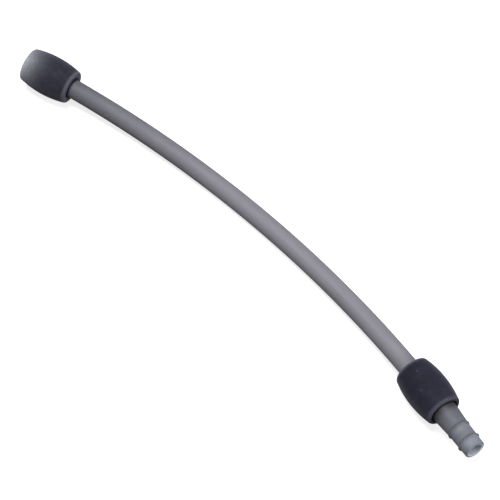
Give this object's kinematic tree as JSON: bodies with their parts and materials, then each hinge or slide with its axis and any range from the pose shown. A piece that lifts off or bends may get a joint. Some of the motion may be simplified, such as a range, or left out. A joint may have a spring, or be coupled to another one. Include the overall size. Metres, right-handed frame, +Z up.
{
  "type": "snorkel extension tube",
  "caption": "Short flexible translucent smoke-grey breathing tube with a soft dark barrel boot at each end, a ribbed spigot at one end and a socket at the other.",
  "frame": {"origin": "centre of the bounding box's underside, on the surface that the tube lies on", "axes": "+X from the socket end to the spigot end, along the chord of the curved tube; +Z up from the surface it lies on; the curve bulges towards +Y"},
  "size_m": [0.2984, 0.0326, 0.0203],
  "materials": {
    "tube": "translucent satin smoke grey",
    "boot": "soft matte",
    "fitting": "translucent satin smoke grey",
    "washer": "matte",
    "clamp": "satin"
  },
  "bodies": {
    "socket_end": {"flexible_tube": "tube", "socket_fitting": "fitting", "socket_seal_washer": "washer", "socket_end_clamp": "clamp"},
    "spigot_end": {"ribbed_spigot": "fitting", "spigot_end_clamp": "clamp"},
    "socket_boot": {"socket_end_boot": "boot"},
    "spigot_boot": {"spigot_end_boot": "boot"}
  },
  "joints": [
    {"name": "tube_flex", "type": "hinge", "parent": "socket_end", "child": "spigot_end", "pos_m": [-0.01085, 0.01157, 0.00474], "axis": [0, 0, 1], "range_deg": [-40, 40], "stiffness_Nm_per_rad": 0.0145, "deforming": ["flexible_tube"]},
    {"name": "socket_boot_slide", "type": "hinge", "parent": "socket_end", "child": "socket_boot", "pos_m": [-0.01085, -0.45356, 0.17411], "axis": [0, -0.3421, -0.9396], "range_deg": [0, 2.9]},
    {"name": "spigot_boot_slide", "type": "hinge", "parent": "spigot_end", "child": "spigot_boot", "pos_m": [-0.01085, -0.45356, 0.17411], "axis": [0, 0.3421, 0.9396], "range_deg": [0, 2.9]}
  ]
}
